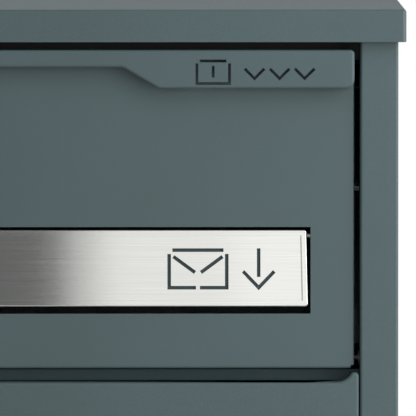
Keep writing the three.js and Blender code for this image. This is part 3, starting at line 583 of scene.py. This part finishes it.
cut(plate,
    strokes(envelope + arrow, 2.8 * mm, flap_half - 111 * mm, flap_low + 15 * mm, -6 * mm, -2 * mm),
    rod(0, 2.3 * mm, 0, 0, -flap_half - past, flap_half + past))
lean_over(plate)
finish(plate, brushed, "letter_flap", "stainless_steel", "flap_plate", edge=0.12 * mm, sharp=25.0)

backing_half = flap_half - 7 * mm
backing_shape = rectangle(-backing_half, backing_half, flap_low + 4.3 * mm, -2.9 * mm, 1.5 * mm)
backing_rings = np.array([[1.5, 0], [0.3, 0], [0.09, 0.09], [0, 0.3], [0, 0.9], [0.09, 1.11],
                          [0.3, 1.2], [1.5, 1.2]]) * mm
backing = pan("flap_inner", backing_shape, backing_rings, facing_front(backing_face))
lean_over(backing)
finish(backing, dark_coat, "letter_flap", "dark_paint", "flap_backing")

# ---- Collection door --------------------------------------------------------------------------
# The same folded pan, with its top edge drawn down between two short horns: fingers reach into the notch
# to pull the door once the lock is turned. The left return is notched for the hinge tabs.

(door_x0, door_y0, door_z0), (door_x1, door_y1, door_z1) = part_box("door_skin")
notch_z = door_z1 - 8 * mm
horn, slope_end = 5.3 * mm, 11.3 * mm  # from the door's side edge to the horn's end and the slope's foot
door_shape = [
    (door_x0, door_z0, dressed), (door_x1, door_z0, dressed), (door_x1, door_z1, dressed),
    (door_x1 - horn, door_z1, 3.2 * mm), (door_x1 - slope_end, notch_z, 14 * mm),
    (door_x0 + slope_end, notch_z, 14 * mm), (door_x0 + horn, door_z1, 3.2 * mm), (door_x0, door_z1, dressed)]
hinge_y = door_y0 + 7 * mm
hinge_levels = [door_z0 + 78 * mm, door_z1 - 78 * mm]
lock_x, lock_z = door_x1 - 21.6 * mm, door_z1 - 180 * mm
door = pan("door_panel", door_shape, pan_rings(door_y1 - door_y0, sheet, fold), facing_front(door_y0))
cut(door, rod(1, 9 * mm, lock_x, lock_z, door_y0 - past, door_y0 + 4 * mm),
    *[block(door_x0 - past, door_x0 + 2.7 * mm, hinge_y - 4.3 * mm, door_y1 + past, z - 2 * mm, z + 5 * mm)
      for z in hinge_levels])
finish(door, coat, "collection_door", "powder_coat", "door_skin", edge=cut_edge)

# ---- Rails ------------------------------------------------------------------------------------
# Folded channels across the opening: the divider stands back behind the notch, and the bottom rail is
# flush with the stiles. Both are folded from the cabinet's sheet and coated with it, the divider in a darker,
# duller copy that is painted shade for its recess.


def rail(name, node, corners):
    """A channel from corners in Y and Z off the node's front and bottom, along the node's whole width."""
    (x0, y0, z0), (x1, _, _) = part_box(node)
    return strip(name, [(y0 + y * mm, z0 + z * mm) for y, z in corners], x0, x1, sideways)


half, bottom_height = half_sheet / mm, 26.7
# The divider takes the darker copy of the coat, painted shade for the recess it stands in.
divider = rail("divider", "divider_rail", [(half, 31.5), (half, half), (25, half)])
finish(divider, shaded_divider_coat, "cabinet", "powder_coat", "divider_rail", edge=fine_edge)
bottom = rail("bottom_front_rail", "bottom_rail",
              [(17, half), (half, half), (half, bottom_height - half), (41, bottom_height - half), (41, 6.7)])
finish(bottom, coat, "cabinet", "powder_coat", "bottom_rail", edge=fine_edge)

# ---- Zinc, brass, nylon and rubber ------------------------------------------------------------
# Brackets, rails and fixings are bright zinc plate with a faint crystal pattern, and the hopper's pins are
# black zinc. The lock's plug and the hinge pins are turned brass, its housing chromed. The bushes are black
# nylon, and the seals and plugs black rubber.


def plated(name, colour, roughness, cell, contrast):
    """Zinc plate: crystals of slightly different shade and shine about 1/cell metres across."""
    material, tree, surface, place = shader(name, colour, roughness, 1.0)
    crystal = tree.nodes.new("ShaderNodeTexVoronoi")
    crystal.inputs["Scale"].default_value = cell
    tree.links.new(place, crystal.inputs["Vector"])
    level = tree.nodes.new("ShaderNodeSeparateColor")
    tree.links.new(crystal.outputs["Color"], level.inputs["Color"])
    grain = noise(tree, place, 900.0, 3.0, 0.6)
    base = np.array(colour)
    dark, light = tuple(base * (1 - contrast)), tuple(np.minimum(base * (1 + contrast), 1))
    tree.links.new(tint(tree, level.outputs["Red"], dark, light), surface.inputs["Base Color"])
    tree.links.new(spread(tree, level.outputs["Green"], roughness - 0.05, roughness + 0.08, 0, 1),
                   surface.inputs["Roughness"])
    relief(tree, surface, [(grain, 0.02 * mm, 0.4)])
    return material


def moulded(name, colour, roughness, cell, height):
    """A moulded plastic or rubber: a matt grain, and a slow drift of shade."""
    material, tree, surface, place = shader(name, colour, roughness)
    base = np.array(colour)
    drift, grain = noise(tree, place, 40.0, 2.0), noise(tree, place, cell, 2.0, 0.6)
    shade = tint(tree, spread(tree, drift, 0, 1), tuple(base * 0.85), tuple(base * 1.1))
    tree.links.new(shade, surface.inputs["Base Color"])
    tree.links.new(spread(tree, grain, roughness - 0.06, roughness + 0.06), surface.inputs["Roughness"])
    relief(tree, surface, [(grain, height, 0.5)])
    return material


zinc = plated("zinc_plate", (0.47, 0.49, 0.50), 0.36, 260.0, 0.10)
chrome = plated("chromed_housing", (0.62, 0.63, 0.63), 0.16, 900.0, 0.03)
brass = plated("turned_brass", (0.58, 0.44, 0.17), 0.26, 700.0, 0.06)
nylon = moulded("black_nylon", (0.012, 0.013, 0.014), 0.45, 800.0, 0.03 * mm)
black_zinc = plated("black_zinc_plate", (0.05, 0.05, 0.055), 0.42, 400.0, 0.10)
rubber = moulded("black_rubber", (0.016, 0.016, 0.017), 0.75, 1400.0, 0.05 * mm)

# ---- Cam lock ---------------------------------------------------------------------------------
# A turned and chromed housing with a rolled flange, and a brass plug in it with a stepped keyway.


def turned(name, profile, x, z, sides=72):
    """A turned part about a front-to-back axis, from a closed or full profile of (radius, depth)."""
    radius, depth = np.array(profile).T
    angle = np.linspace(0, 2 * np.pi, sides, endpoint=False)
    rings = np.stack([x + radius[:, None] * np.cos(angle), np.repeat(depth[:, None], sides, axis=1),
                      z + radius[:, None] * np.sin(angle)], axis=-1)
    made = build(name, rings.reshape(-1, 3), tube_faces(len(profile), sides, True))
    turn_outwards(made)
    return made


(_, house_y0, _), (_, house_y1, _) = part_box("lock_housing")
(_, plug_y0, _), (_, plug_y1, _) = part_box("lock_plug")
house_profile = np.array([
    [6.2, 0.5], [6.4, 0.25], [6.8, 0.08], [7.4, 0], [9.6, 0], [10.3, 0.1], [10.75, 0.35], [11, 0.8],
    [11, 1.7], [10.8, 2], [8.7, 2], [8.7, 6], [8.4, 6.2], [8.4, 6.8], [8.7, 7]]) * mm + (0, house_y0)
house_end = [[8.7 * mm, house_y1], [6.2 * mm, house_y1], house_profile[0]]
house_profile = np.concatenate([house_profile, house_end])
housing = turned("lock_body", house_profile, lock_x, lock_z)
finish(housing, chrome, "collection_door", "zinc_plate", "lock_housing")

plug_profile = np.array([[0, 0], [4.9, 0], [5.4, 0.1], [5.75, 0.3], [5.9, 0.6]]) * mm + (0, plug_y0)
plug_end = [[5.9 * mm, plug_y1 - 0.4 * mm], [5.5 * mm, plug_y1], [0, plug_y1]]
plug_profile = np.concatenate([plug_profile, plug_end])
barrel = turned("lock_cylinder", plug_profile, lock_x, lock_z)
cut(barrel, block(lock_x - 0.7 * mm, lock_x + 0.7 * mm, plug_y0 - past, plug_y0 + 8 * mm,
                  lock_z - 3.5 * mm, lock_z + 3.5 * mm),
    block(lock_x - 0.2 * mm, lock_x + 1.3 * mm, plug_y0 - past, plug_y0 + 8 * mm,
          lock_z - 1.2 * mm, lock_z + 0.6 * mm),
    rod(1, 2.3 * mm, lock_x, lock_z, plug_y1 - 8 * mm, plug_y1 + past))
finish(barrel, brass, "lock", "brass", "lock_plug")

# ---- Inside the hopper ------------------------------------------------------------------------
# Two cheeks, each a flat plate with a slot that runs past a fixed stop stud, carry a sloping tray between
# them. Letters slide down a stainless chute under the slot. A curved baffle behind keeps hands out.


def plate_of(name, shape, start, end, to_space):
    """A flat plate: an outline carried straight from start to end."""
    count = len(shape)
    points = np.concatenate([np.column_stack([shape, np.full(count, level)]) for level in (start, end)])
    ends = [list(range(count))[::-1], list(range(count, 2 * count))]
    made = build(name, to_space(points), tube_faces(2, count, True) + ends)
    turn_outwards(made)
    return made


def round_pivot(radius, angle):
    """Points at a radius and angles in degrees round the hopper's pivot, in Y and Z."""
    angle = np.radians(np.atleast_1d(angle))
    return np.stack([pin_y + radius * np.cos(angle), pin_z + radius * np.sin(angle)], axis=1)


tray_slope = 38.0
clear = 0.3 * mm  # left between the hopper's front and what is fixed behind it


def from_pivot(along, above):
    """A place along the tray's slope from the pivot, and square to it."""
    fall = np.radians(tray_slope)
    return (pin_y + along * np.cos(fall) + above * np.sin(fall),
            pin_z - along * np.sin(fall) + above * np.cos(fall))


cheek_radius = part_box("hopper_cheek_right")[1][2] - pin_z
cheek_front, cheek_low = hop_y0 + sheet + clear, hop_z0 + sheet + clear
reach = np.degrees(np.arccos((cheek_front - pin_y) / cheek_radius))
cheek_shape = np.concatenate([
    [(cheek_front, cheek_low + sheet), (cheek_front + sheet, cheek_low), (pin_y + 1 * mm, cheek_low),
     from_pivot(7 * mm, 1 * mm)],
    round_pivot(cheek_radius, np.linspace(-tray_slope, reach, 90))])
orbit, slot_half_width = cheek_radius - 36 * mm, 4.6 * mm
stud_from, stud_to = -5.0, 40.0


def slot_end(at, start):
    """The round end of the slot, half a turn about its middle line from the given angle."""
    spin = np.radians(start + np.linspace(0, 180, 13)[1:-1])
    return round_pivot(orbit, at) + slot_half_width * np.stack([np.cos(spin), np.sin(spin)], axis=1)


slot_path = np.linspace(stud_from, stud_to, 40)
slot_shape = np.concatenate([round_pivot(orbit + slot_half_width, slot_path), slot_end(stud_to, stud_to),
                             round_pivot(orbit - slot_half_width, slot_path[::-1]),
                             slot_end(stud_from, stud_from + 180)])
for side in ("left", "right"):
    (x0, _, _), (x1, _, _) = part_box(f"hopper_cheek_{side}")
    cheek = plate_of(f"{side}_cheek", cheek_shape, x0, x1, sideways)
    cut(cheek, plate_of("tool", slot_shape, x0 - past, x1 + past, sideways),
        rod(0, pin_radius, pin_y, pin_z, x0 - past, x1 + past))
    finish(cheek, coat, "hopper", "powder_coat", f"hopper_cheek_{side}", edge=cut_edge)

behind = hop_y0 + 1.5 * sheet + clear
above = 5 * mm + sheet / 2
tray_fold = pin_z + above / np.cos(np.radians(tray_slope)) + (pin_y - behind) * np.tan(np.radians(tray_slope))
tray_end = np.sqrt((cheek_radius - 3.3 * mm) ** 2 - above ** 2)
(tray_x0, _, _), (tray_x1, _, _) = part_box("hopper_tray")
tray_line = [(behind, tray_fold + 12 * mm), (behind, tray_fold), from_pivot(tray_end, above),
             from_pivot(tray_end, above - 10 * mm)]
tray = strip("sloping_tray", tray_line, tray_x0, tray_x1, sideways)
finish(tray, coat, "hopper", "powder_coat", "hopper_tray", edge=cut_edge)

sill = slot_z0 - clear - sheet / 2
(chute_x0, _, _), (chute_x1, _, _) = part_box("letter_chute")
chute_line = [(behind, sill - 8 * mm), (behind, sill), (behind + 20 * mm, sill),
              (behind + 35 * mm, sill - 30 * mm * np.sin(np.radians(60)))]
chute = strip("letter_slide", chute_line, chute_x0, chute_x1, sideways)
finish(chute, brushed, "hopper", "stainless_steel", "letter_chute", edge=fine_edge)

(baffle_x0, _, _), (baffle_x1, _, _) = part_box("baffle")
curve = np.linspace(-1, 62, 64)
tangent = np.stack([-np.sin(np.radians(curve)), np.cos(np.radians(curve))], axis=1)
baffle_line = round_pivot(cheek_radius + 4 * mm + sheet / 2, curve)
baffle = swept("curved_baffle", baffle_line, tangent, baffle_x0, baffle_x1, sideways)
finish(baffle, zinc, "cabinet", "zinc_plate", "baffle", edge=fine_edge)

# ---- Back -------------------------------------------------------------------------------------
# A flat panel with four wall-fixing holes, held to the side panels' rear flanges by domed blind rivets.

(back_x0, back_y0, back_z0), (back_x1, back_y1, back_z1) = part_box("back_panel")
back_shape = np.array([(back_x0, back_z0), (back_x1, back_z0), (back_x1, back_z1), (back_x0, back_z1)])
back = plate_of("back_sheet", back_shape, back_y0, back_y1, front_to_back)
wall_holes = [(x * 178.5 * mm, z * mm) for x in (-1, 1) for z in (120, 890)]
cut(back, *[rod(1, 5 * mm, x, z, back_y0 - past, back_y1 + past) for x, z in wall_holes])
finish(back, coat, "cabinet", "powder_coat", "back_panel", edge=fine_edge)

flange_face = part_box("right_side_panel")[1][1]
rivet_profile = np.array([[0, 1.15], [0.45, 1.1], [0.55, 0.95], [1.2, 1.05], [2.2, 0.85], [2.9, 0.5],
                          [3.2, 0.12], [3.2, 0.0], [0, 0.0]]) * mm
rivet_sides = 24
spots = np.array([(x * 228 * mm, z * mm) for x in (-1, 1) for z in np.linspace(60, 950, 8)])
spin = np.linspace(0, 2 * np.pi, rivet_sides, endpoint=False)
rivet = np.stack([rivet_profile[:, :1] * np.cos(spin),
                  flange_face + np.repeat(rivet_profile[:, 1:], rivet_sides, axis=1),
                  rivet_profile[:, :1] * np.sin(spin)], axis=-1).reshape(-1, 3)
points = (rivet[None] + np.insert(spots, 1, 0, axis=1)[:, None]).reshape(-1, 3)
faces = np.array(tube_faces(len(rivet_profile), rivet_sides, True))[None]
faces = faces + len(rivet) * np.arange(len(spots))[:, None, None]
rivets = build("back_rivets", points, faces.reshape(-1, 4).tolist())
turn_outwards(rivets)
finish(rivets, zinc, "cabinet", "zinc_plate")

# ---- Other pieces -----------------------------------------------------------------------------
# The pieces that show little or only with the hopper tipped or the door open keep their first shape, and
# take the finish of their kind.


def dress(material, *names):
    """Gives the material to pieces that keep their shape."""
    for name in names:
        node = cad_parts[name]
        node.data.materials.clear()
        node.data.materials.append(material)


both = ("left", "right")
dress(coat, "top_rail")
dress(drawn, "flap_rod")
dress(zinc, "base_plate", "floor_pan", "lid_channel_front", "lid_channel_rear", "door_stiffener",
      "lock_nut", "lock_cam", "lock_cam_screw", "strike_plate",
      *[f"lid_screw_{end}_{side}" for end in ("front", "rear") for side in both],
      *[f"{part}_{side}" for part in ("lid_rail", "baffle_bracket", "hopper_stop", "flap_bracket")
        for side in both],
      *[f"{part}_{level}" for part in ("hinge_bracket", "hinge_lug") for level in ("top", "bottom")])
dress(black_zinc, "hopper_pivot_pin_left", "hopper_pivot_pin_right")
dress(rubber, "door_seal", "hopper_seal", *[f"wall_hole_plug_{i}" for i in (1, 2, 3, 4)])
dress(nylon, "pivot_bush_left", "pivot_bush_right")
dress(brass, "hinge_pin_top", "hinge_pin_bottom")
